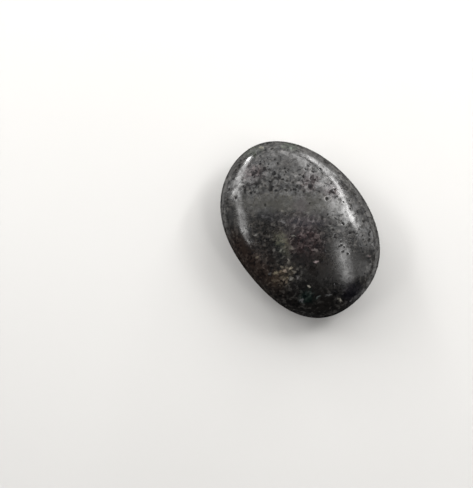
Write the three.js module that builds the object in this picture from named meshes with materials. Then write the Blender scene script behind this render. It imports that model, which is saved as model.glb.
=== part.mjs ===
// A palm stone: one polished pebble, rounded all over, that rests on a small flat spot.
// Sizes are in millimetres. +X runs along the stone, +Y across it and +Z up. The origin is under
// the middle of the stone, on the surface that it rests on.
import * as THREE from 'three';

// Driving sizes
const stoneLength = 72;
const stoneBreadth = 53.3;
const crownHeight = 12; // from the widest line up to the crown
const bellyDepth = 11.5; // from the widest line down to the resting spot
const restingShare = 0.25; // width of the resting spot, as a share of the stone's own width

// Roundness of the side view: 2 is an ellipse, and a larger number is fuller at the shoulder
const crownFullness = 2.35;
const bellyFullness = 2.35;

// What keeps the stone from being an even oval
const outlineWaves = [ // how far the outline swells along and across, as shares of its radius
  { lobes: 3, along: -0.0080, across: -0.0090 },
  { lobes: 4, along: -0.0115, across: -0.0109 },
  { lobes: 5, along: -0.0042, across: 0.0014 },
];
const crownLean = { x: 1.6, y: -1.1 }; // how far the crown stands off the middle of the belly
const girdleWave = 0.7; // how far the widest line climbs and dips on its way round
const girdlePeak = THREE.MathUtils.degToRad(35); // where on the outline it is highest

// Fineness of the facets
const facetsRound = 96;
const crownRings = 20;
const bellyRings = 18;
const rimCrowding = 0.35; // 0 spaces the rings evenly, and more crowds them at the rounded rim

const stoneHeight = crownHeight + bellyDepth;

/** Side view of half the stone, from under its middle, over the rim, to the crown. */
function sideProfile() {
  const bellyFull = bellyDepth / (1 - restingShare ** bellyFullness) ** (1 / bellyFullness);
  const restingTurn = Math.asin(restingShare ** (bellyFullness / 2));
  const points = [new THREE.Vector2(0, 0)];
  for (let ring = 0; ring < bellyRings; ring++) {
    const turn = restingTurn + (Math.PI / 2 - restingTurn) * crowded(ring / bellyRings);
    const width = Math.sin(turn) ** (2 / bellyFullness);
    const drop = bellyFull * Math.cos(turn) ** (2 / bellyFullness);
    points.push(new THREE.Vector2(width, ring === 0 ? 0 : bellyDepth - drop));
  }
  for (let ring = crownRings; ring > 0; ring--) {
    const turn = (Math.PI / 2) * crowded(ring / crownRings);
    const width = Math.sin(turn) ** (2 / crownFullness);
    const rise = crownHeight * Math.cos(turn) ** (2 / crownFullness);
    points.push(new THREE.Vector2(width, bellyDepth + rise));
  }
  points.push(new THREE.Vector2(0, stoneHeight));
  return points;
}

/** Spaces rings from the middle (0) to the rim (1), closer together at the rim. */
function crowded(share) {
  return share + rimCrowding * share * (1 - share);
}

/** Outline of the stone at an angle: 1 is a plain oval. */
function outlineFactor(angle) {
  return outlineWaves.reduce(
    (sum, wave) =>
      sum + wave.along * Math.cos(wave.lobes * angle) + wave.across * Math.sin(wave.lobes * angle),
    1,
  );
}

/** Moves a point of the round turned body to its place on the stone. */
function placeOnStone(point) {
  const width = Math.hypot(point.x, point.y);
  const angle = Math.atan2(point.y, point.x);
  const wavy = THREE.MathUtils.lerp(1, outlineFactor(angle), width ** 2);
  const share = point.z / stoneHeight;
  const wave = girdleWave * Math.sin(Math.PI * share) * Math.cos(2 * (angle - girdlePeak));
  point.x *= (stoneLength / 2) * wavy;
  point.y *= (stoneBreadth / 2) * wavy;
  point.x += crownLean.x * share;
  point.y += crownLean.y * share;
  point.z += wave * width ** 2;
}

/** Scales a shape to the stone's sizes and stands it over the origin. */
function fitToSizes(geometry) {
  geometry.computeBoundingBox();
  const size = geometry.boundingBox.getSize(new THREE.Vector3());
  geometry.center();
  geometry.scale(stoneLength / size.x, stoneBreadth / size.y, stoneHeight / size.z);
  geometry.translate(0, 0, stoneHeight / 2);
}

function palmStoneGeometry() {
  const geometry = new THREE.LatheGeometry(sideProfile(), facetsRound);
  geometry.rotateX(Math.PI / 2);
  const position = geometry.attributes.position;
  const point = new THREE.Vector3();
  for (let i = 0; i < position.count; i++) {
    placeOnStone(point.fromBufferAttribute(position, i));
    position.setXYZ(i, point.x, point.y, point.z);
  }
  fitToSizes(geometry);
  geometry.computeVertexNormals();
  return geometry;
}

const palmStone = new THREE.Mesh(
  palmStoneGeometry(),
  new THREE.MeshStandardMaterial({ color: '#2d2b29', roughness: 0.25, metalness: 0 }),
);
palmStone.name = 'palm_stone';

const group = new THREE.Group();
group.add(palmStone);

export default group;
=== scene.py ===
# Palm stone: a dark polished pebble on a plain pale table, seen from above.
import math
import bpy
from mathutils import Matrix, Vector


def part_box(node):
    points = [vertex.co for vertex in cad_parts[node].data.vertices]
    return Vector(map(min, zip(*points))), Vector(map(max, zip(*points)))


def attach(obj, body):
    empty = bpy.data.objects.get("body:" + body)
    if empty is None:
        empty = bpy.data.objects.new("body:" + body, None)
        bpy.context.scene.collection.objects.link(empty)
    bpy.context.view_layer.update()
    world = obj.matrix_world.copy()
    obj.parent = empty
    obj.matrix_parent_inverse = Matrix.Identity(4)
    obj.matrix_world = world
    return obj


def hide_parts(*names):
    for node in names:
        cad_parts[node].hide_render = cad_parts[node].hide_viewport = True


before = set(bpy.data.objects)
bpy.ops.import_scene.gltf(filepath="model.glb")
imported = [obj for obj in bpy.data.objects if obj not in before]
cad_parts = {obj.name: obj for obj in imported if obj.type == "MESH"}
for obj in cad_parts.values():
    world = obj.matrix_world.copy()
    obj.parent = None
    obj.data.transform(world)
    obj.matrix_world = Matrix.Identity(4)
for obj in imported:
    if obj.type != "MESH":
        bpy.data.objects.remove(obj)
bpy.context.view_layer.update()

from types import SimpleNamespace

import bpy
import numpy as np
from mathutils import Matrix, Vector, kdtree, noise

mm = 0.001  # the numbers for the stone are in millimetres, and Blender works in metres


# The stone's form

stoneForm = {
    "crownHeight": 12.0,  # from the widest line up to the crown
    "bellyDepth": 11.5,  # from the widest line down to the resting spot
    "restingShare": 0.25,  # width of the resting spot, as a share of the stone's width
    "crownFullness": 2.35,  # 2 is an ellipse, and more is fuller at the shoulder
    "bellyFullness": 2.35,
    "waves": [(3, -0.0080, -0.0090), (4, -0.0115, -0.0109), (5, -0.0042, 0.0014)],  # lobes, along, across
    "crownLean": (1.6, -1.1),
    "girdleWave": 0.7,
    "girdlePeak": math.radians(35),
    "cells": (150, 112, 124),  # quads along, across and up the grid that is wrapped on the stone
}


def gridOnBox(counts):
    # every point on the skin of a box of cells, and the quads between them, facing out
    counts = np.array(counts)
    quads = []
    for axis, first, second in ((0, 1, 2), (1, 2, 0), (2, 0, 1)):
        i, j = np.meshgrid(np.arange(counts[first]), np.arange(counts[second]), indexing="ij")
        for side in (0, 1):
            corners = []
            for stepI, stepJ in ((0, 0), (1, 0), (1, 1), (0, 1)):
                corner = np.zeros(i.shape + (3,), int)
                corner[..., first] = i + stepI
                corner[..., second] = j + stepJ
                corner[..., axis] = side * counts[axis]
                corners.append(corner.reshape(-1, 3))
            if side == 0:
                corners.reverse()
            quads.append(np.stack(corners, axis=1))
    quads = np.concatenate(quads)
    stride = np.array([1, counts[0] + 1, (counts[0] + 1) * (counts[1] + 1)])
    keys, faces = np.unique((quads @ stride).ravel(), return_inverse=True)
    points = np.stack([keys % stride[1], keys // stride[1] % (counts[1] + 1), keys // stride[2]], axis=1)
    return points / counts * 2 - 1, faces.reshape(-1, 4)


def sideCurve(fullness, height, fromTurn, steps=4000):
    # width (0 to 1) and height of half a side view, from the axis side to the widest line
    turn = np.linspace(fromTurn, math.pi / 2, steps)
    return np.sin(turn) ** (2 / fullness), height * np.cos(turn) ** (2 / fullness)


def evenAlong(widths, heights, shares, meanRadius):
    # reads the curve at even shares of its length
    length = np.hypot(np.diff(widths) * meanRadius, np.diff(heights))
    length = np.concatenate([[0], np.cumsum(length)]) / length.sum()
    return np.interp(shares, length, widths), np.interp(shares, length, heights)


def stonePoints(form, directions, low, high):
    # puts each direction from the middle on the stone's skin, in millimetres
    halfLength, halfBreadth = (high - low)[:2] / 2
    meanRadius = (halfLength + halfBreadth) / 2
    fullHeight = form["crownHeight"] + form["bellyDepth"]
    share = np.arccos(np.clip(directions[:, 2], -1, 1)) / (math.pi / 2)
    angle = np.arctan2(directions[:, 1], directions[:, 0])

    widths, heights = sideCurve(form["crownFullness"], form["crownHeight"], 0)
    crownWidth, crownRise = evenAlong(widths, heights, np.clip(share, 0, 1), meanRadius)

    resting = form["restingShare"]
    full = form["bellyFullness"]
    bellyFull = form["bellyDepth"] / (1 - resting ** full) ** (1 / full)
    widths, heights = sideCurve(full, bellyFull, math.asin(resting ** (full / 2)))
    widths = np.concatenate([[0], widths])
    heights = np.concatenate([[form["bellyDepth"]], heights])
    bellyWidth, bellyDrop = evenAlong(widths, heights, np.clip(2 - share, 0, 1), meanRadius)

    isCrown = share <= 1
    width = np.where(isCrown, crownWidth, bellyWidth)
    z = form["bellyDepth"] + np.where(isCrown, crownRise, -bellyDrop)

    swell = sum(a * np.cos(lobes * angle) + b * np.sin(lobes * angle) for lobes, a, b in form["waves"])
    reach = width * (1 + width ** 2 * swell)
    leanX, leanY = form["crownLean"]
    x = halfLength * reach * np.cos(angle) + leanX * z / fullHeight
    y = halfBreadth * reach * np.sin(angle) + leanY * z / fullHeight
    z += (form["girdleWave"] * np.sin(math.pi * z / fullHeight)
          * np.cos(2 * (angle - form["girdlePeak"])) * width ** 2)
    return np.stack([x, y, z], axis=1)


def fitToBox(points, low, high):
    # scales the skin to fill the box exactly
    least = points.min(axis=0)
    return low + (points - least) * (high - low) / (points.max(axis=0) - least)


def skinNormals(points, faces):
    # the way the skin faces at each point, from the quads around it
    across = np.cross(points[faces[:, 2]] - points[faces[:, 0]], points[faces[:, 3]] - points[faces[:, 1]])
    normals = np.zeros_like(points)
    for corner in range(4):
        np.add.at(normals, faces[:, corner], across)
    return normals / np.linalg.norm(normals, axis=1, keepdims=True)


# Pits and hollows in the skin

skinRelief = {
    "seed": 11,
    "hollows": (16.0, 0.045, 3),  # size, depth and seed of the slow hollows that hand polishing leaves
    "ripples": (4.5, 0.010, 5),  # and of the finer ones that make a highlight waver
    "pits": 320,  # small ones, drawn at random
    "pitRadius": (0.22, 0.5),
    "pitDepth": 0.14,  # as a share of the pit's radius
    "smoothOdds": 0.01,  # odds of a pit on the smoothest skin, against 1 on the coarsest
    "dents": 3,  # that overlap and make one ragged pit
    "dentSpread": 0.45,  # how far they stand from its middle, as a share of its radius
    "dentRadius": (0.6, 1.0),  # as shares of its radius
    "dentSoftness": 1.5,  # more widens the soft rim of a dent
    "restingBand": 0.02,  # the skin stays flat up to this height above the resting spot
    "crownPits": [  # x, y, radius of the ones that catch the eye on the crown
        (-19.9, 1.5, 0.71), (-19.8, -0.8, 0.67), (-19.3, 2.5, 0.37), (-17.7, 3.7, 0.52), (-16.4, 4.6, 0.48),
        (-14.5, 6.0, 0.48), (-12.4, 6.4, 0.63), (-11.9, 5.1, 0.60), (-13.6, 2.5, 0.63), (-17.4, -1.1, 0.48),
        (-15.7, -0.9, 0.52), (-15.1, 1.0, 0.45), (-25.0, 0.4, 0.90), (-27.5, 0.3, 0.45),
        (-25.5, -4.7, 0.63), (-26.6, -2.6, 0.48), (-30.4, 1.9, 0.48), (-21.2, 6.6, 0.52),
        (-19.7, 6.0, 0.45), (-22.1, -14.9, 0.42), (-23.5, -17.9, 0.67), (-20.2, -20.5, 0.60),
        (-20.4, -9.3, 0.67), (-22.5, -10.3, 0.56), (-13.4, -7.4, 0.52), (-4.6, 7.0, 0.48),
        (-12.4, 12.9, 0.71), (-10.9, 13.7, 0.60), (-10.5, 10.4, 0.38), (-11.9, 9.3, 0.41),
        (-6.3, 12.3, 0.48), (-2.6, 13.0, 0.86), (-4.1, 16.4, 0.60), (-4.1, 18.0, 0.52), (-6.7, 18.2, 0.48),
        (-1.1, 17.1, 0.56), (-13.5, 17.9, 0.48), (8.7, 13.0, 0.67), (6.1, 8.8, 0.71), (8.6, 8.5, 0.45),
        (13.3, 13.1, 0.60), (11.0, 7.5, 0.63), (7.7, 20.8, 0.60), (9.5, 23.1, 0.56), (12.2, 20.3, 0.63),
        (5.4, 18.8, 0.45), (1.8, 17.8, 0.45), (17.0, 11.9, 0.60), (15.0, 7.9, 0.40), (19.4, 12.2, 0.45),
        (21.6, 13.5, 0.48), (19.1, 18.1, 0.52), (24.3, 13.6, 0.48), (13.5, 2.4, 0.52), (27.8, -3.0, 0.60),
        (10.3, 8.0, 0.45), (12.9, 13.2, 0.42), (14.9, 7.0, 0.36), (19.0, 8.4, 0.42), (17.3, 7.2, 0.36),
        (19.2, 17.9, 0.52), (24.8, 14.2, 0.52), (16.4, 11.3, 0.42), (13.5, 8.6, 0.36), (16.0, 8.6, 0.34),
        (18.7, 14.0, 0.38), (14.6, 15.2, 0.36), (16.9, 19.4, 0.42), (22.0, 18.9, 0.45), (23.5, 17.2, 0.36),
        (20.3, 16.0, 0.36), (-2.1, -16.8, 0.56), (-1.3, -18.2, 0.48), (7.4, -18.6, 0.75),
    ],
}

# How coarse the skin is from place to place
coarseness = {
    "usual": 0.48,
    "smoothest": -0.4,  # along the smooth tracks
    "patchy": (8.0, 0.28, 7),  # size, strength and seed of the unplanned variation
    "crownFade": 2.0,  # the patches below set in over this height above the widest line
    "patchEdge": (0.9, 1.5),  # how fast a patch fades on the way out, and how sharply it ends
    "crown": [  # x, y, half length, half width, turn in degrees, change
        (-24.6, -1.2, 6.5, 5.2, 56, 0.38),
        (-15.2, 2.4, 7.6, 3.0, 56, 0.62),
        (-21.5, 8.8, 7.5, 3.6, 56, -0.12),
        (-11.4, 12.2, 4.0, 3.5, 0, 0.36),
        (-4.4, 16.6, 4.5, 4.0, 0, 0.45),
        (-0.8, -0.2, 6.5, 5.0, 56, 0.25),
        (-22.0, -17.9, 3.2, 5.0, 56, 0.45),
        (11.9, 9.4, 6.5, 5.5, 56, 0.22),
        (9.8, 21.3, 3.5, 4.0, 56, 0.45),
        (19.7, 13.4, 4.5, 3.0, 56, 0.30),
        (-3.2, -15.6, 7.5, 6.5, 56, 0.30),
        (-4.5, -18.5, 4.4, 2.8, -34, 0.35),
        (-6.4, -4.2, 2.8, 1.8, 56, 0.40),
        (29.2, -2.1, 5.5, 4.5, 56, 0.30),
        (9.0, -4.5, 5.0, 4.0, 56, 0.15),
        (-13.3, -6.1, 11.5, 3.2, 56, -0.60),
        (-2.7, 7.9, 8.0, 3.2, 56, -0.60),
        (1.8, 14.1, 4.0, 2.6, 56, -0.55),
        (-20.6, 13.5, 6.5, 3.2, 56, -0.10),
        (21.7, 4.6, 5.5, 4.5, 56, -0.65),
        (23.7, 9.8, 4.0, 4.5, 56, -0.60),
        (21.8, -5.4, 6.0, 6.0, 56, -0.50),
        (30.2, -8.1, 5.0, 3.0, 56, -0.40),
        (11.6, -8.5, 4.0, 2.6, 56, -0.30),
        (-14.5, 15.5, 4.0, 3.0, 56, -0.15),
        (-21.6, -7.2, 4.0, 2.4, 56, 0.50),
    ],
    "smoothTracks": [  # half width, how smooth, and places along lines where the polish is unbroken
        (1.5, 0.85, [(-18.9, 18.0), (-15.8, 19.1), (-12.0, 19.7), (-8.1, 19.8), (-5.4, 19.7), (-2.3, 19.4),
                     (-0.4, 19.0)]),
        (1.5, 0.85, [(1.6, 18.4), (3.7, 17.9), (7.0, 17.4), (9.0, 17.0), (12.2, 16.2)]),
        (1.4, 0.75, [(-32.0, -1.6), (-31.0, -3.7), (-29.9, -6.3), (-28.6, -8.5), (-26.3, -11.4),
                     (-23.9, -13.5)]),
        (3.6, 0.95, [(14.6, 6.7), (17.7, 6.0), (20.6, 4.9), (23.7, 4.2), (26.0, 3.1)]),
        (2.0, 0.85, [(-19.5, -15.6), (-14.9, -17.2), (-11.9, -18.3), (-9.2, -19.7), (-6.5, -21.0),
                     (-4.2, -22.1)]),
    ],
}


def patchWeight(x, y, patch):
    # the patch's change in the middle of its oval, fading to 0 outside
    centreX, centreY, halfLength, halfWidth, turn, change = patch
    turn = math.radians(turn)
    along = (x - centreX) * math.cos(turn) + (y - centreY) * math.sin(turn)
    across = (y - centreY) * math.cos(turn) - (x - centreX) * math.sin(turn)
    outward = (along / halfLength) ** 2 + (across / halfWidth) ** 2
    fade, sharpness = coarseness["patchEdge"]
    return change * np.exp(-fade * outward ** sharpness)


def nearTrack(x, y, halfWidth, places):
    # 1 on a line through the places, fading to 0 beside it
    nearest = np.full(len(x), np.inf)
    for (startX, startY), (endX, endY) in zip(places[:-1], places[1:]):
        runX, runY = endX - startX, endY - startY
        share = np.clip(((x - startX) * runX + (y - startY) * runY) / (runX ** 2 + runY ** 2), 0, 1)
        nearest = np.minimum(nearest, np.hypot(x - startX - share * runX, y - startY - share * runY))
    return np.exp(-(nearest / halfWidth) ** 2)


def noiseAt(points, size, seed, octaves=3, fading=1.0, finer=2.0):
    # smooth noise from about -1 to 1 with lumps of that size, and octaves that are finer and fainter
    shift = Vector((seed * 13.7, seed * 7.1, seed * 3.3))  # any shift that no two seeds share
    return np.array([noise.fractal(Vector(p) / size + shift, fading, finer, octaves) for p in points])


def skinCoarseness(points, midHeight):
    # 0 or less where the polish is clean and even, 1 where pits and specks crowd together
    size, strength, seed = coarseness["patchy"]
    coarse = coarseness["usual"] + strength * noiseAt(points, size, seed)
    onCrown = np.clip((points[:, 2] - midHeight) / coarseness["crownFade"], 0, 1)
    for patch in coarseness["crown"]:
        coarse += onCrown * patchWeight(points[:, 0], points[:, 1], patch)
    coarse = np.clip(coarse, 0, 1)
    for halfWidth, smooth, places in coarseness["smoothTracks"]:
        near = onCrown * nearTrack(points[:, 0], points[:, 1], halfWidth, places)
        coarse += (coarseness["smoothest"] - coarse) * smooth * near
    return coarse


def pittedSkin(points, coarse, relief, midHeight):
    # how far each point sinks, and how deep in a pit it is from 0 to 1
    draw = np.random.RandomState(relief["seed"])
    sink = np.zeros(len(points))
    for size, depth, seed in (relief["hollows"], relief["ripples"]):
        sink += depth * (1 + noiseAt(points, size, seed))

    odds = np.maximum(coarse, 0) ** 2 + relief["smoothOdds"]
    chosen = draw.choice(len(points), relief["pits"], replace=False, p=odds / odds.sum())
    smallest, largest = relief["pitRadius"]
    pits = [(points[i], smallest + (largest - smallest) * draw.random_sample() ** 2) for i in chosen]
    crown = np.where(points[:, 2] > midHeight)[0]
    for x, y, radius in relief["crownPits"]:
        nearest = crown[np.argmin((points[crown, 0] - x) ** 2 + (points[crown, 1] - y) ** 2)]
        pits.append((points[nearest], radius))

    tree = kdtree.KDTree(len(points))
    for i, p in enumerate(points):
        tree.insert(p, i)
    tree.balance()
    inPit = np.zeros(len(points))
    pitSink = np.zeros(len(points))
    spread = relief["dentSpread"]
    for place, radius in pits:
        for dent in range(relief["dents"]):
            spot = place + draw.uniform(-spread, spread, 3) * radius
            reach = radius * draw.uniform(*relief["dentRadius"])
            for _, i, distance in tree.find_range(spot, reach):
                bowl = (1 - (distance / reach) ** 2) ** relief["dentSoftness"]
                inPit[i] = max(inPit[i], bowl)
                pitSink[i] = max(pitSink[i], bowl * radius * relief["pitDepth"])
    return sink + pitSink, inPit


def makeStone(name, node):
    # one closed skin in the node's own box, which carries how coarse and how pitted it is
    low, high = (np.array(corner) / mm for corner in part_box(node))
    grid, faces = gridOnBox(stoneForm["cells"])
    grid = np.tan(grid * math.pi / 4)  # evens out the cells on the round
    directions = grid / np.linalg.norm(grid, axis=1, keepdims=True)
    points = fitToBox(stonePoints(stoneForm, directions, low, high), low, high)
    normals = skinNormals(points, faces)
    print("stone wrapped:", len(points), "points")

    midHeight = stoneForm["bellyDepth"]
    coarse = skinCoarseness(points, midHeight)
    sink, inPit = pittedSkin(points, coarse, skinRelief, midHeight)
    isResting = points[:, 2] < low[2] + skinRelief["restingBand"]
    sink[isResting] = 0
    inPit[isResting] = 0
    points = fitToBox(points - normals * sink[:, None], low, high)
    print("stone pitted:", np.count_nonzero(inPit), "points in pits")

    mesh = bpy.data.meshes.new(name)
    mesh.from_pydata((points * mm).tolist(), [], faces.tolist())
    mesh.validate()
    mesh.shade_smooth()
    for label, values in (("inPit", inPit), ("coarse", coarse)):
        layer = mesh.attributes.new(label, "FLOAT", "POINT")
        layer.data.foreach_set("value", values.astype(np.float32))
    piece = bpy.data.objects.new(name, mesh)
    bpy.context.scene.collection.objects.link(piece)
    return piece


# The polished finish

polish = {
    "deep": (0.0040, 0.0041, 0.0045),  # the darkest grains
    "body": (0.0113, 0.0106, 0.0099),  # the usual dark ones
    "light": (0.0380, 0.0360, 0.0337),  # the lighter ones
    "spark": (0.078, 0.075, 0.070),  # the few pale ones
    "deepToBody": (0.15, 0.52),  # tones over which each colour passes into the next
    "bodyToLight": (0.52, 0.78),
    "lightToSpark": (0.80, 1.00),
    "crystal": 0.85,  # size in millimetres
    "crystalSoftness": 0.35,
    "flakeStretch": 0.7,  # below 1 draws the crystals out across the stone
    "mottle": (2.2, 2.0, 2.0),  # size in millimetres, detail and seed of the light and dark patches
    "grain": (1.25, 1.0, 6.0),  # of the grains
    "gleam": (1.4, 2.0, 14.0),  # of the shine, which changes from grain to grain
    "cloud": (3.4, 1.0, 21.0),  # and of its slower changes
    "noiseSpan": (0.25, 0.75),  # where nearly all values of a pattern lie
    "toneFrom": (0.30, 0.20, 0.30),  # how far crystals, mottle and grains move the tone up and down
    "leastContrast": 0.14,  # contrast of the grains on the smoothest skin
    "fullContrastAt": 0.7,  # coarseness from which they show fully
    "stir": (0.9, 1.0),  # scale and detail of what makes the edges ragged
    "grainStir": 1.6,  # how far it moves them, in millimetres from end to end
    "crystalStir": 0.8,
    "areaStir": 4.5,
    "areaEdge": 0.6,  # how far an oval area fades in and out beside its edge, as a share of its size
    "fleckEdge": 0.5,
    "crownFrom": (9.0, 13.0),  # heights between which the areas of the crown set in
    "gleamInCrystals": 0.10,  # how much the shine differs between crystals, and between specks
    "gleamInSpecks": 0.20,
    "gleamMiddle": 0.65,  # taken off, so that it goes up and down alike
    "gleamStrength": 2.0,
    "cloudSpan": (0.3, 0.7),
    "cloudStrength": 0.30,
    "usualGloss": (0.44, 0.56),  # on smooth skin and on coarse skin
    "fullShineAt": 0.6,  # gloss from which the roughness is the glossy one
    "glossyRoughness": 0.19,
    "dullRoughness": 0.60,
    "coatWeight": (0.0, 1.0),  # on the least and the most glossy grains
    "coatRoughness": 0.11,
    "specularLevel": (0.04, 0.66),  # likewise
    "ior": 1.5,
    "grainBump": 0.0015,  # height in millimetres
    "dullBump": 0.008,  # depth
    "edgeFade": (0.38, 0.72),  # how far the skin turns away where its gloss begins to fade, and ends
    "edgeGloss": 0.04,  # gloss that is left there
    "wornFlank": (0.55, -0.84),  # x and y of the way to the side that has lost its polish
    "flankSpread": (0.20, 0.65),  # how squarely a spot faces that side: not yet worn, fully worn
    "flankFrom": (0.69, 0.90),  # the same on the way out from the middle (0) to the rim (1)
    "flankGloss": 0.03,  # gloss that is left there
}

# Spots without polish
dullSpots = {
    "speckSpacing": 2.4,  # millimetres
    "speckSize": 0.60,
    "speckRarity": 1.15,  # more leaves fewer specks
    "speckGrowth": 0.95,  # how much they grow with coarseness
    "speckClumping": 0.5,  # how closely they follow the mottle
    "speckEdge": (-0.16, 0.08),
    "speckDullness": 0.96,
    "net": (1.7, 1.0, 9.0),  # size in millimetres, detail and seed of the net between the grains
    "netInCrystals": 0.14,  # how much it differs between crystals
    "netGrowth": 0.30,  # and grows with coarseness
    "netEdge": (0.84, 1.00),
    "netDullness": 0.76,
    "pitRaggedness": 0.9,
    "pitEdge": (0.05, 0.35),
    "pitDullness": 0.90,
    "darkening": 0.75,  # how far a dull spot takes the darkest colour
}

# Tinted areas of the crown: x, y, half length, half width, turn in degrees, and what the dark ground and
# the light flakes are multiplied by. Left, right, upper and lower are the picture's
# The brown along the lower left rim is a painted warm reflection and shade, and the dark end is painted
# shade
tintsAndPaintedShade = [
    (0.0, -9.2, 3.1, 2.4, 0, (2.70, 2.62, 2.42), (1.36, 1.33, 1.26)),  # olive, its warm part
    (2.6, -10.2, 4.4, 2.3, 0, (2.30, 2.55, 2.15), (1.25, 1.34, 1.18)),  # olive, its green part
    (11.6, -13.8, 3.4, 2.6, 56, (1.60, 1.50, 1.34), (1.75, 1.64, 1.44)),  # khaki, its upper part
    (12.2, -17.6, 3.6, 3.0, 56, (1.70, 1.58, 1.34), (1.80, 1.68, 1.42)),  # khaki, its lower part
    (-0.8, -0.2, 8.0, 5.0, 56, (1.70, 1.60, 1.72), (1.26, 1.22, 1.28)),  # cool crystals in the middle
    (2.0, -22.8, 14.0, 5.0, 8, (1.60, 1.24, 1.12), (0.80, 0.66, 0.61)),  # brown along the lower left rim: a painted warm reflection and shade
    (7.6, -2.8, 6.4, 5.4, 56, (1.02, 0.68, 0.74), (1.14, 0.90, 0.95)),  # mauve
    (17.0, -1.6, 3.6, 3.4, 56, (0.72, 0.62, 0.56), (0.64, 0.60, 0.56)),  # dark beside the bright patch
    (24.5, -8.5, 13.0, 6.5, 56, (0.50, 0.49, 0.49), (0.58, 0.58, 0.58)),  # the dark end: painted shade at the end away from the light
    (23.9, -13.4, 2.6, 2.4, 56, (0.80, 1.45, 1.35), (0.60, 0.85, 0.82)),  # teal in the dark end
    (9.8, -7.4, 4.2, 3.2, 100, (0.60, 0.58, 0.58), (0.45, 0.44, 0.44)),  # dark below the olive
    (15.0, -2.4, 4.2, 3.6, 56, (0.75, 0.66, 0.64), (0.60, 0.57, 0.55)),  # dark beside the bright patch
    (-5.6, -13.2, 7.0, 5.2, 20, (0.55, 0.52, 0.50), (0.80, 0.78, 0.75)),  # dark left of the olive
    (0.9, 2.4, 7.5, 1.9, 56, (1.60, 1.55, 1.65), (1.28, 1.25, 1.30)),  # cool crystals, right of the middle
    (-4.5, -18.5, 4.4, 2.8, -34, (0.55, 0.52, 0.50), (0.65, 0.62, 0.60)),  # dark by the left streak's foot
    (1.0, -17.6, 6.0, 2.8, 11, (0.64, 0.60, 0.58), (0.66, 0.64, 0.62)),  # dark above the brown rim
    (-7.7, -14.4, 3.0, 2.6, 0, (0.62, 0.60, 0.58), (0.70, 0.68, 0.66)),  # dark left of the olive
    (7.7, -17.9, 2.1, 1.8, 0, (0.55, 0.53, 0.52), (0.50, 0.48, 0.47)),  # dark left of the khaki
    (28.8, -2.7, 2.4, 2.0, 0, (0.80, 0.80, 0.80), (0.45, 0.45, 0.45)),  # dark below the bright patch
    (16.4, -5.6, 3.0, 2.8, 0, (0.72, 0.68, 0.66), (0.70, 0.67, 0.65)),  # dark below the mauve
    (12.5, -5.2, 3.6, 3.4, 56, (0.52, 0.46, 0.46), (0.46, 0.42, 0.42)),  # dark below the mauve
    (-10.1, -8.6, 3.6, 2.6, 56, (1.00, 1.04, 1.22), (0.96, 1.00, 1.14)),  # bluish, left
    (31.8, 1.8, 4.0, 3.4, 56, (0.90, 0.90, 1.20), (0.95, 0.95, 1.10)),  # bluish, lower right
    (-6.7, 3.9, 2.4, 3.2, 56, (1.30, 1.15, 1.50), (1.10, 1.05, 1.20)),  # purplish, in the smooth band
    (-34.0, 0.8, 4.0, 2.2, 76, (1.10, 1.45, 1.10), (1.00, 1.20, 1.00)),  # green at the upper left rim
    (-27.6, 13.9, 3.0, 1.8, 56, (1.10, 1.60, 1.10), (1.00, 1.30, 1.00)),  # green at the upper rim
    (-26.3, -4.1, 3.8, 3.0, 56, (1.50, 1.00, 1.15), (1.20, 0.98, 1.05)),  # reddish, upper left
    (-11.4, 12.2, 3.4, 3.4, 0, (1.50, 1.00, 1.15), (1.20, 0.98, 1.05)),  # reddish, upper right
    (-3.7, 17.0, 3.4, 3.0, 56, (1.50, 1.00, 1.15), (1.20, 0.98, 1.05)),  # reddish, by the right streak
    (-8.8, 0.8, 17.5, 3.4, 56, (1.20, 1.20, 0.95), (1.10, 1.10, 0.95)),  # the smooth band
]

# Where the crown shines more (above 1) or less: x, y, half length, half width, turn, change
lustre = [
    (-21.2, -6.8, 4.4, 2.6, 56, 0.64), (-15.6, 2.2, 8.0, 3.2, 56, 0.84), (-21.0, 6.1, 3.6, 1.8, 56, 0.82),
    (-4.8, -18.2, 4.8, 3.0, -34, 0.70), (12.0, -4.8, 3.6, 3.4, 56, 0.65), (13.5, 14.9, 2.4, 2.2, 56, 0.80),
    (12.6, 10.0, 3.0, 3.4, 56, 1.25), (-21.6, 16.0, 3.4, 2.3, 56, 1.35), (-26.8, 8.4, 3.4, 2.4, 56, 1.32),
    (-23.4, 2.2, 2.4, 2.0, 56, 1.32), (-24.2, -4.7, 2.8, 2.3, 56, 1.40), (-23.9, -0.4, 2.2, 2.0, 56, 0.82),
    (-14.8, 14.9, 2.6, 2.6, 56, 1.40), (10.6, -9.0, 3.0, 2.6, 0, 0.75), (-7.7, -14.4, 3.0, 2.6, 0, 0.80),
    (-20.0, -10.4, 2.4, 2.0, 56, 0.75), (3.6, 13.4, 3.6, 2.4, 56, 1.25), (8.0, -17.8, 2.4, 2.0, 0, 0.70),
    (-11.6, -4.2, 11.0, 2.2, 56, 0.84), (19.3, -3.3, 3.8, 2.6, -34, 0.72), (11.9, -2.0, 2.2, 2.0, 0, 0.80),
    (-5.5, 13.3, 3.4, 2.4, 56, 0.80), (-10.0, 11.0, 2.4, 2.2, 56, 1.35), (-22.2, -14.3, 1.9, 1.1, 56, 0.72),
    (-29.4, -8.5, 1.8, 1.2, 56, 0.82), (1.2, 18.3, 1.5, 1.0, 56, 0.74), (-1.3, 8.7, 2.6, 2.2, 56, 1.20),
    (-31.6, -4.0, 2.8, 2.0, 56, 1.25), (-16.6, 18.9, 3.2, 2.0, 56, 1.25), (15.2, 19.7, 2.4, 3.2, 56, 1.35),
    (19.2, 17.1, 2.4, 2.0, 56, 0.84), (-26.2, 0.4, 2.6, 2.6, 56, 0.84), (-31.8, 7.2, 6.0, 1.8, 56, 0.82),
]

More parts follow.
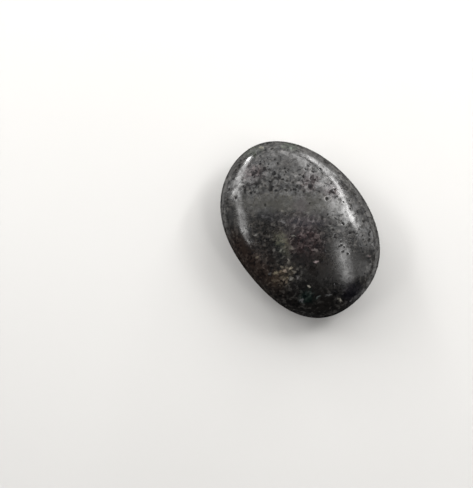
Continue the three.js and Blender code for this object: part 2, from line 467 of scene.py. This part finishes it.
# Pale flecks on the crown: x, y, half length, half width, turn, colour
flecks = [
    (14.9, -3.5, 1.10, 0.36, 56, (0.150, 0.122, 0.122)),
    (21.1, -10.7, 0.58, 0.38, 20, (0.160, 0.150, 0.130)),
    (31.7, -3.7, 1.05, 0.40, 18, (0.200, 0.190, 0.165)),
    (23.8, -15.6, 0.72, 0.55, 76, (0.070, 0.072, 0.074)),
    (11.6, -12.5, 0.58, 0.48, 56, (0.180, 0.160, 0.125)),
    (11.3, -15.0, 0.85, 0.42, 36, (0.160, 0.130, 0.105)),
    (10.0, -18.1, 1.00, 0.50, 56, (0.110, 0.095, 0.068)),
    (8.9, -20.0, 0.55, 0.36, 56, (0.060, 0.060, 0.060)),
    (9.4, -15.1, 0.62, 0.42, 10, (0.078, 0.070, 0.056)),
    (9.2, -12.2, 0.50, 0.40, 90, (0.066, 0.062, 0.054)),
    (14.9, -16.8, 0.72, 0.36, 110, (0.078, 0.064, 0.048)),
    (12.0, -20.4, 0.66, 0.44, 30, (0.058, 0.048, 0.036)),
    (13.5, -12.3, 0.50, 0.46, 0, (0.072, 0.066, 0.056)),
    (12.6, -17.2, 0.76, 0.46, 80, (0.056, 0.047, 0.036)),
    (15.0, -14.7, 0.70, 0.38, 101, (0.110, 0.105, 0.095)),
    (16.1, -12.4, 0.38, 0.64, 56, (0.085, 0.080, 0.080)),
    (1.0, -20.7, 0.55, 0.42, 56, (0.085, 0.072, 0.056)),
    (-6.0, -16.4, 0.92, 0.36, 96, (0.095, 0.092, 0.086)),
    (-4.7, -5.6, 1.15, 0.38, 28, (0.075, 0.073, 0.074)),
    (2.3, -5.0, 0.85, 0.34, 41, (0.080, 0.077, 0.070)),
    (8.7, -11.5, 0.55, 0.50, 0, (0.095, 0.088, 0.078)),
    (11.0, -1.4, 1.15, 0.40, 31, (0.068, 0.058, 0.056)),
    (24.1, 14.7, 0.72, 0.32, 46, (0.100, 0.080, 0.080)),
    (27.9, -6.2, 1.20, 0.30, 66, (0.050, 0.050, 0.050)),
    (26.2, -10.0, 0.95, 0.32, 98, (0.044, 0.052, 0.050)),
    (-26.4, 13.5, 0.55, 0.50, 0, (0.075, 0.098, 0.075)),
    (-33.1, 4.4, 0.80, 0.55, 56, (0.095, 0.090, 0.072)),
]


class Bench:
    # lays out a material's nodes with few words
    def __init__(self, name):
        self.material = bpy.data.materials.new(name)
        self.material.use_nodes = True
        self.tree = self.material.node_tree
        self.tree.nodes.clear()

    def add(self, kind, settings=None, **sockets):
        # a node with its settings, and values or links for its sockets: at0 is the first one
        node = self.tree.nodes.new(kind)
        for key, value in (settings or {}).items():
            setattr(node, key, value)
        for key, value in sockets.items():
            self.plug(node, key.replace("_", " "), value)
        return node

    def plug(self, node, key, value):
        byNumber = key.startswith("at") and key[2:].isdigit()
        socket = node.inputs[int(key[2:])] if byNumber else node.inputs[key]
        if isinstance(value, bpy.types.NodeSocket):
            self.tree.links.new(value, socket)
        elif isinstance(value, tuple) and len(value) == 3 and socket.type == "RGBA":
            socket.default_value = value + (1,)
        else:
            socket.default_value = value

    def math(self, operation, first, second=0.0, third=0.0, clamp=False):
        node = self.add("ShaderNodeMath", {"operation": operation, "use_clamp": clamp},
                        at0=first, at1=second, at2=third)
        return node.outputs[0]

    def vector(self, operation, first, second, third=(0, 0, 0)):
        node = self.add("ShaderNodeVectorMath", {"operation": operation}, at0=first, at1=second, at2=third)
        return node.outputs[0]

    def length(self, vector):
        return self.add("ShaderNodeVectorMath", {"operation": "LENGTH"}, at0=vector).outputs["Value"]

    def span(self, value, fromLow, fromHigh, toLow=0.0, toHigh=1.0, smooth=True):
        # maps a range of values to another one
        kind = "SMOOTHSTEP" if smooth else "LINEAR"
        node = self.add("ShaderNodeMapRange", {"interpolation_type": kind}, Value=value,
                        From_Min=fromLow, From_Max=fromHigh, To_Min=toLow, To_Max=toHigh)
        return node.outputs["Result"]

    def blend(self, share, first, second, kind="MIX"):
        node = self.add("ShaderNodeMix", {"data_type": "RGBA", "blend_type": kind}, Factor=share,
                        at6=first, at7=second)
        return node.outputs[2]

    def split(self, colour):
        # the three numbers in a colour
        return self.add("ShaderNodeSeparateColor", Color=colour).outputs

    def noise(self, where, size, detail, seed):
        node = self.add("ShaderNodeTexNoise", {"noise_dimensions": "4D"}, Vector=where, W=seed,
                        Scale=1 / size, Detail=detail)
        return node.outputs[0]

    def grains(self, where, size):
        return self.add("ShaderNodeTexVoronoi", Vector=where, Scale=1 / size)

    def softGrains(self, where, size, softness):
        return self.add("ShaderNodeTexVoronoi", {"feature": "SMOOTH_F1"}, Vector=where, Scale=1 / size,
                        Smoothness=softness)


def readSkin(bench):
    # what the finish is worked out from, at each spot of the skin
    shape = bench.add("ShaderNodeTexCoord").outputs["Object"]
    where = bench.add("ShaderNodeVectorMath", {"operation": "SCALE"}, at0=shape, Scale=1 / mm).outputs[0]
    height = bench.add("ShaderNodeSeparateXYZ", Vector=where).outputs["Z"]
    coarse = bench.add("ShaderNodeAttribute", {"attribute_name": "coarse"}).outputs["Fac"]
    scale, detail = polish["stir"]
    stir = bench.add("ShaderNodeTexNoise", Vector=where, Scale=scale, Detail=detail).outputs["Color"]
    stir = bench.vector("SUBTRACT", stir, (0.5, 0.5, 0.5))

    def stirred(reach):
        # the spots moved about, so that what is drawn on them has ragged edges
        return bench.vector("MULTIPLY_ADD", stir, (reach, reach, reach), where)

    forGrains = stirred(polish["grainStir"])
    forCrystals = bench.vector("MULTIPLY", stirred(polish["crystalStir"]), (1, polish["flakeStretch"], 1))
    crystals = bench.softGrains(forCrystals, polish["crystal"], polish["crystalSoftness"])
    specks = bench.grains(forGrains, dullSpots["speckSpacing"])
    return SimpleNamespace(
        where=where,
        forGrains=forGrains,
        forAreas=stirred(polish["areaStir"]),
        onCrown=bench.span(height, *polish["crownFrom"]),
        coarse=coarse,
        inPit=bench.add("ShaderNodeAttribute", {"attribute_name": "inPit"}).outputs["Fac"],
        contrast=bench.span(coarse, coarseness["smoothest"], polish["fullContrastAt"],
                            polish["leastContrast"]),
        mottle=bench.noise(forGrains, *polish["mottle"]),
        grain=bench.noise(forGrains, *polish["grain"]),
        crystal=bench.split(crystals.outputs["Color"]),  # three numbers, drawn for each crystal
        speck=bench.split(specks.outputs["Color"]),  # and for each speck
        speckDistance=specks.outputs["Distance"],
    )


def ovalOnCrown(bench, skin, where, oval, edge):
    # 1 inside an oval on the crown, 0 outside, fading over the edge
    x, y, halfLength, halfWidth, turn = oval
    tall = 1000.0  # the oval runs right through the stone
    local = bench.add("ShaderNodeMapping", {"vector_type": "TEXTURE"}, Vector=where,
                      Location=(x, y, 0), Rotation=(0, 0, math.radians(turn)),
                      Scale=(halfLength, halfWidth, tall))
    inside = bench.span(bench.length(local.outputs[0]), 1 + edge, 1 - edge)
    return bench.math("MULTIPLY", inside, skin.onCrown)


def grainTone(bench, skin):
    # 0 and less is darkest, 1 and more palest
    fromCrystal, fromMottle, fromGrain = polish["toneFrom"]
    tone = bench.math("MULTIPLY_ADD", skin.crystal[0], 2 * fromCrystal, -fromCrystal)
    for pattern, reach in ((skin.mottle, fromMottle), (skin.grain, fromGrain)):
        swing = bench.span(pattern, *polish["noiseSpan"], -reach, reach, smooth=False)
        tone = bench.math("ADD", tone, swing)
    return bench.math("MULTIPLY_ADD", tone, skin.contrast, 0.5)


def dullness(bench, skin):
    # towards 1 where polish is missing: ragged specks, a fine net between the grains, and the pits
    grainWave = bench.math("SUBTRACT", skin.grain, 0.5)  # up and down from the middle
    mottleWave = bench.math("SUBTRACT", skin.mottle, 0.5)

    reach = bench.math("SUBTRACT", skin.speck[0], dullSpots["speckRarity"])
    reach = bench.math("MULTIPLY_ADD", skin.coarse, dullSpots["speckGrowth"], reach)
    reach = bench.math("MULTIPLY_ADD", reach, dullSpots["speckSize"], grainWave)
    reach = bench.math("MULTIPLY_ADD", mottleWave, dullSpots["speckClumping"], reach)
    specks = bench.math("SUBTRACT", reach, skin.speckDistance)
    specks = bench.span(specks, *dullSpots["speckEdge"], 0.0, dullSpots["speckDullness"])

    net = bench.noise(skin.forGrains, *dullSpots["net"])
    net = bench.math("MULTIPLY_ADD", skin.crystal[1], dullSpots["netInCrystals"], net)
    net = bench.math("MULTIPLY_ADD", skin.coarse, dullSpots["netGrowth"], net)
    net = bench.span(net, *dullSpots["netEdge"], 0.0, dullSpots["netDullness"])

    pits = bench.math("MULTIPLY_ADD", grainWave, dullSpots["pitRaggedness"], skin.inPit)
    pits = bench.span(pits, *dullSpots["pitEdge"], 0.0, dullSpots["pitDullness"])
    return bench.math("MAXIMUM", bench.math("MAXIMUM", specks, net), pits)


def grainColour(bench, skin, dull):
    # dark ground and light flakes, tinted by area (two areas are painted shade and a painted warm
    # reflection), with pale flecks and then the dull spots over them
    tone = grainTone(bench, skin)
    ground = bench.blend(bench.span(tone, *polish["deepToBody"]), polish["deep"], polish["body"])
    flake = bench.blend(bench.span(tone, *polish["lightToSpark"]), polish["light"], polish["spark"])
    for *oval, groundTint, flakeTint in tintsAndPaintedShade:
        inside = ovalOnCrown(bench, skin, skin.forAreas, oval, polish["areaEdge"])
        ground = bench.blend(inside, ground, groundTint, "MULTIPLY")
        flake = bench.blend(inside, flake, flakeTint, "MULTIPLY")
    colour = bench.blend(bench.span(tone, *polish["bodyToLight"]), ground, flake)
    for *oval, fleckColour in flecks:
        inside = ovalOnCrown(bench, skin, skin.forGrains, oval, polish["fleckEdge"])
        colour = bench.blend(inside, colour, fleckColour)
    return bench.blend(bench.math("MULTIPLY", dull, dullSpots["darkening"]), colour, polish["deep"])


def shine(bench, skin, dull):
    # gloss from 0 to 1, uneven from grain to grain and from area to area
    gleam = bench.noise(skin.forGrains, *polish["gleam"])
    gleam = bench.math("MULTIPLY_ADD", skin.crystal[1], polish["gleamInCrystals"], gleam)
    gleam = bench.math("MULTIPLY_ADD", skin.speck[1], polish["gleamInSpecks"], gleam)
    gleam = bench.math("SUBTRACT", gleam, polish["gleamMiddle"])
    gleam = bench.math("MULTIPLY", bench.math("MULTIPLY", gleam, polish["gleamStrength"]), skin.contrast)
    usual = bench.span(skin.coarse, 0.0, 1.0, *polish["usualGloss"], smooth=False)
    gloss = bench.math("ADD", gleam, usual, clamp=True)
    gloss = bench.math("MULTIPLY", gloss, bench.math("SUBTRACT", 1.0, dull))

    reach = polish["cloudStrength"]
    cloud = bench.noise(skin.forGrains, *polish["cloud"])
    cloud = bench.span(cloud, *polish["cloudSpan"], -reach, reach, smooth=False)
    gloss = bench.math("MULTIPLY", gloss, bench.math("MULTIPLY_ADD", cloud, skin.contrast, 1.0))
    for *oval, change in lustre:
        inside = ovalOnCrown(bench, skin, skin.forAreas, oval, polish["areaEdge"])
        gloss = bench.math("MULTIPLY", gloss, bench.math("MULTIPLY_ADD", inside, change - 1, 1.0))
    return gloss


def keptPolish(bench, skin, stoneSize):
    # 1 where the polish shows fully, less where the skin turns away from the eye and on the worn flank
    facing = bench.add("ShaderNodeLayerWeight").outputs["Facing"]
    kept = bench.span(facing, *polish["edgeFade"], 1.0, polish["edgeGloss"])

    outward = bench.length(bench.vector("MULTIPLY", skin.where, (2 / stoneSize.x, 2 / stoneSize.y, 0)))
    toFlank = bench.add("ShaderNodeVectorMath", {"operation": "DOT_PRODUCT"}, at0=skin.where,
                        at1=(*polish["wornFlank"], 0)).outputs["Value"]
    fromMiddle = bench.length(bench.vector("MULTIPLY", skin.where, (1, 1, 0)))
    onFlank = bench.span(bench.math("DIVIDE", toFlank, fromMiddle), *polish["flankSpread"])
    worn = bench.math("MULTIPLY", onFlank, bench.span(outward, *polish["flankFrom"]))
    unworn = bench.span(worn, 0.0, 1.0, 1.0, polish["flankGloss"], smooth=False)
    return bench.math("MULTIPLY", kept, unworn)


def polishedStone(stoneSize):
    bench = Bench("polishedStone")
    skin = readSkin(bench)
    dull = dullness(bench, skin)
    colour = grainColour(bench, skin, dull)
    gloss = shine(bench, skin, dull)
    kept = keptPolish(bench, skin, stoneSize)
    roughness = bench.span(gloss, 0.0, polish["fullShineAt"],
                           polish["dullRoughness"], polish["glossyRoughness"])
    specular = bench.span(gloss, 0.0, 1.0, *polish["specularLevel"], smooth=False)
    coat = bench.span(gloss, 0.0, 1.0, *polish["coatWeight"], smooth=False)

    fineHeight = bench.math("MULTIPLY", bench.math("ADD", skin.grain, skin.crystal[2]), skin.contrast)
    fineBump = bench.add("ShaderNodeBump", Height=fineHeight, Distance=polish["grainBump"] * mm)
    dullBump = bench.add("ShaderNodeBump", {"invert": True}, Height=dull, Normal=fineBump.outputs[0],
                         Distance=polish["dullBump"] * mm)

    shader = bench.add("ShaderNodeBsdfPrincipled", Base_Color=colour, Roughness=roughness,
                       Specular_IOR_Level=bench.math("MULTIPLY", specular, kept),
                       Coat_Weight=bench.math("MULTIPLY", coat, kept),
                       Coat_Roughness=polish["coatRoughness"], IOR=polish["ior"],
                       Normal=dullBump.outputs[0])
    bench.add("ShaderNodeOutputMaterial", Surface=shader.outputs[0])
    print("polish laid out:", len(bench.tree.nodes), "nodes")
    return bench.material


# The camera, which sees the stone as the picture does: sizes in pixels of its 473 x 488 frame

picture = {
    "wide": 473,
    "high": 488,
    "stoneCentre": (299.7, 226.7),  # from the left and from the top
    "stoneLong": 187.3,  # the long axis, end to end
    "longAxisDown": 56.2,  # degrees below the picture's right
    "lookDown": 85.0,  # degrees above the table
    "distance": 0.42,  # metres from the stone
    "sensor": 36.0,  # millimetres
    "clip": (0.01, 50.0),  # metres
}
longAxis = math.radians(picture["longAxisDown"])
pictureRight = Vector((math.cos(longAxis), math.sin(longAxis), 0))
pictureUp = Vector((-math.sin(longAxis), math.cos(longAxis), 0))


def placeCamera(low, high):
    perPixel = (high.x - low.x) / picture["stoneLong"]  # metres for each pixel, at the stone
    lookDown = math.radians(picture["lookDown"])
    back = Vector((0, 0, 1)) * math.sin(lookDown) - pictureUp * math.cos(lookDown)
    cameraUp = pictureUp * math.sin(lookDown) + Vector((0, 0, 1)) * math.cos(lookDown)
    offRight = (picture["wide"] / 2 - picture["stoneCentre"][0]) * perPixel
    offUp = (picture["stoneCentre"][1] - picture["high"] / 2) * perPixel
    aim = Vector((0, 0, (low.z + high.z) / 2)) + pictureRight * offRight + cameraUp * offUp

    camera = bpy.data.cameras.new("pictureCamera")
    camera.sensor_width = picture["sensor"]
    camera.lens = picture["sensor"] * picture["distance"] / (picture["high"] * perPixel)
    camera.clip_start, camera.clip_end = picture["clip"]
    holder = bpy.data.objects.new("pictureCamera", camera)
    axes = Matrix((pictureRight, cameraUp, back)).transposed().to_4x4()
    holder.matrix_world = Matrix.Translation(aim + back * picture["distance"]) @ axes
    bpy.context.scene.collection.objects.link(holder)
    bpy.context.scene.camera = holder


# The light: places are (right, up, height) as seen in the picture, in metres from the stone

panels = {  # a corner, the two sides from it, and the glow
    "ceiling": {"corner": (-0.50, 0.06, 0.60), "sides": ((1.12, 0.14, 0), (0, 2.05, 0)), "glow": 1.97},
    "ceilingRight": {"corner": (0.15, 0.30, 0.62), "sides": ((0.5, 0.09, 0), (0, 1.7, 0)), "glow": 2.05},
    "backWall": {"corner": (-0.9, 2.1, 0.03), "sides": ((2.6, 0, 0), (0, 0, 0.57)), "glow": 1.8},
    "rightGlow": {"corner": (0.27, 0.175, 0.62), "sides": ((0.30, 0.08, 0), (0, 0.225, 0)), "glow": 2.9},
    "rightGlowInner": {"corner": (0.34, 0.19, 0.63), "sides": ((0.20, 0.045, 0), (0, 0.19, 0)), "glow": 2.7},
    "rightSoft": {"corner": (0.20, 0.06, 0.62), "sides": ((0.20, 0.03, 0), (0, 0.11, 0)), "glow": 0.9},
    "rightSill": {"corner": (0.235, 0.185, 0.62), "sides": ((0.15, 0.06, 0), (0.03, 0.055, 0)), "glow": 4.0},
    "rightSide": {"corner": (0.80, 0.06, 0.08), "sides": ((0, 0.59, 0), (-0.22, 0, 0.60)), "glow": 1.0},
    "rightFoot": {"corner": (0.80, -0.32, 0.20), "sides": ((0, 0.22, 0), (-0.16, 0, 0.48)), "glow": 1.3},
    "rightUpper": {"corner": (0.85, 0.00, 0.08), "sides": ((0, 0.50, 0), (-0.22, 0, 0.55)), "glow": 0.9},
    "leftSide": {"corner": (-0.85, -0.15, 0.04), "sides": ((0, 0.80, 0), (0.06, 0, 0.50)), "glow": 0.40},
    "leftHaze": {"corner": (-0.72, 0.20, 0.42), "sides": ((0, 0.50, 0), (0.22, 0, 0.26)), "glow": 3.2},
    "leftFar": {"corner": (-0.80, 0.20, 0.05), "sides": ((0, 0.35, 0), (0.06, 0, 0.45)), "glow": 1.7},
    "rightLow": {"corner": (0.38, -0.42, 0.62), "sides": ((0.24, 0, 0), (0, 0.38, 0)), "glow": 0.6},
}
strips = {  # places along it, each with a width and the glow of the stretch that starts there
    "leftStrip": [
        ((-0.436, 0.800, 0.225), 0.10, 32),
        ((-0.498, 0.699, 0.374), 0.15, 7.5),
        ((-0.566, 0.610, 0.427), 0.20, 7.6),
        ((-0.635, 0.522, 0.443), 0.26, 8.2),
        ((-0.680, 0.404, 0.494), 0.24, 7.8),
        ((-0.640, 0.298, 0.602), 0.17, 4.6),
        ((-0.642, 0.180, 0.648), 0.18, 4.3),
        ((-0.594, 0.108, 0.707), 0.18, 5.4),
        ((-0.622, -0.061, 0.688), 0.20, 8.0),
        ((-0.644, -0.153, 0.652), 0.17, 10),
        ((-0.679, -0.196, 0.602), 0.12, 0),
    ],
    "rightStrip": [
        ((0.332, 0.864, 0.054), 0.36, 5),
        ((0.464, 0.795, 0.094), 0.32, 5),
        ((0.505, 0.745, 0.205), 0.15, 11),
        ((0.538, 0.684, 0.320), 0.07, 23),
        ((0.566, 0.616, 0.399), 0.055, 25),
        ((0.579, 0.551, 0.470), 0.055, 26),
        ((0.577, 0.481, 0.543), 0.065, 26),
        ((0.575, 0.406, 0.604), 0.11, 20),
        ((0.592, 0.341, 0.627), 0.11, 21),
        ((0.592, 0.298, 0.648), 0.08, 20),
        ((0.595, 0.232, 0.672), 0.04, 0),
    ],
    "blobGlow": [
        ((0.365, 0.050, 0.860), 0.16, 3.4),
        ((0.372, -0.030, 0.848), 0.19, 3.6),
        ((0.402, -0.101, 0.836), 0.17, 2.7),
        ((0.440, -0.185, 0.811), 0.16, 2.8),
        ((0.482, -0.270, 0.760), 0.16, 2.6),
        ((0.532, -0.374, 0.668), 0.15, 0),
    ],
    "blobCore": [
        ((0.400, 0.010, 0.837), 0.09, 7),
        ((0.400, -0.101, 0.827), 0.09, 4.2),
        ((0.420, -0.187, 0.806), 0.08, 5.6),
        ((0.452, -0.276, 0.763), 0.08, 3.5),
        ((0.480, -0.330, 0.730), 0.06, 0),
    ],
}
roomGlow = 0.035  # faint light from all round
lampColour = (1.0, 0.992, 0.982)
backdrop = {
    "colour": (0.80, 0.79, 0.775),  # what stands behind the table, seen but giving no light
    "fade": (0.16, 0.50),  # the table melts into it between these distances from the stone
}


def inRoom(place):
    right, up, height = place
    return pictureRight * right + pictureUp * up + Vector((0, 0, height))


def hangLamp(name, middle, along, across, glow):
    # a flat lamp of even brightness, its back away from the stone
    lamp = bpy.data.lights.new(name, "AREA")
    lamp.shape = "RECTANGLE"
    lamp.size = along.length
    lamp.size_y = across.length
    lamp.energy = glow * math.pi * lamp.size * lamp.size_y  # watts for that glow all over it
    lamp.color = lampColour
    holder = bpy.data.objects.new(name, lamp)
    back = along.cross(across).normalized()
    if back.dot(middle) < 0:
        back.negate()
        across = -across
    axes = Matrix((along.normalized(), back.cross(along).normalized(), back)).transposed().to_4x4()
    holder.matrix_world = Matrix.Translation(middle) @ axes
    holder.visible_camera = False
    bpy.context.scene.collection.objects.link(holder)


def lightRoom():
    for name, panel in panels.items():
        along, across = (inRoom(side) for side in panel["sides"])
        hangLamp(name, inRoom(panel["corner"]) + (along + across) / 2, along, across, panel["glow"])
    for name, places in strips.items():
        for i in range(len(places) - 1):
            start, width, glow = places[i]
            start, end = inRoom(start), inRoom(places[i + 1][0])
            middle = (start + end) / 2
            across = (end - start).cross(middle).normalized() * width
            hangLamp(f"{name}{i + 1}", middle, end - start, across, glow)
    world = bpy.data.worlds.new("room")
    world.use_nodes = True
    tree = world.node_tree
    dim = tree.nodes["Background"]
    dim.inputs["Color"].default_value = (1, 1, 1, 1)
    dim.inputs["Strength"].default_value = roomGlow
    pale = tree.nodes.new("ShaderNodeBackground")
    pale.inputs["Color"].default_value = (*backdrop["colour"], 1)
    seen = tree.nodes.new("ShaderNodeLightPath").outputs["Is Camera Ray"]
    either = tree.nodes.new("ShaderNodeMixShader")
    tree.links.new(seen, either.inputs[0])
    tree.links.new(dim.outputs[0], either.inputs[1])
    tree.links.new(pale.outputs[0], either.inputs[2])
    tree.links.new(either.outputs[0], tree.nodes["World Output"].inputs["Surface"])
    bpy.context.scene.world = world
    bpy.context.scene.view_settings.view_transform = "Standard"


paleTable = {
    "half": 4.0,  # metres from its middle to its edge
    "shades": ((0.50, 0.495, 0.485), (0.53, 0.525, 0.515)),
    "mottle": (9.0, 3.0),  # scale and detail of the pattern that they make
    "roughness": 0.85,
    "specularLevel": 0.2,
}


def layTable(level):
    # a table top at the height that the stone rests on
    half = paleTable["half"]
    mesh = bpy.data.meshes.new("table")
    corners = [(-half, -half, level), (half, -half, level), (half, half, level), (-half, half, level)]
    mesh.from_pydata(corners, [], [(0, 1, 2, 3)])
    table = bpy.data.objects.new("table", mesh)
    bpy.context.scene.collection.objects.link(table)
    bench = Bench("paleTable")
    where = bench.add("ShaderNodeTexCoord").outputs["Object"]
    scale, detail = paleTable["mottle"]
    shade = bench.add("ShaderNodeTexNoise", Vector=where, Scale=scale, Detail=detail).outputs[0]
    top = bench.add("ShaderNodeBsdfPrincipled", Base_Color=bench.blend(shade, *paleTable["shades"]),
                    Roughness=paleTable["roughness"], Specular_IOR_Level=paleTable["specularLevel"])
    seen = bench.add("ShaderNodeLightPath").outputs["Is Camera Ray"]
    melted = bench.math("MULTIPLY", bench.span(bench.length(where), *backdrop["fade"]), seen)
    behind = bench.add("ShaderNodeEmission", Color=backdrop["colour"])
    either = bench.add("ShaderNodeMixShader", at0=melted, at1=top.outputs[0], at2=behind.outputs[0])
    bench.add("ShaderNodeOutputMaterial", Surface=either.outputs[0])
    mesh.materials.append(bench.material)


low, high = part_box("palm_stone")
placeCamera(low, high)
lightRoom()
layTable(low.z)
print("camera, lamps and table placed")

palmStone = makeStone("polishedSkin", "palm_stone")
palmStone.data.materials.append(polishedStone(stoneSize=(high - low) / mm))
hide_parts("palm_stone")
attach(palmStone, "root")
print("stone finished")
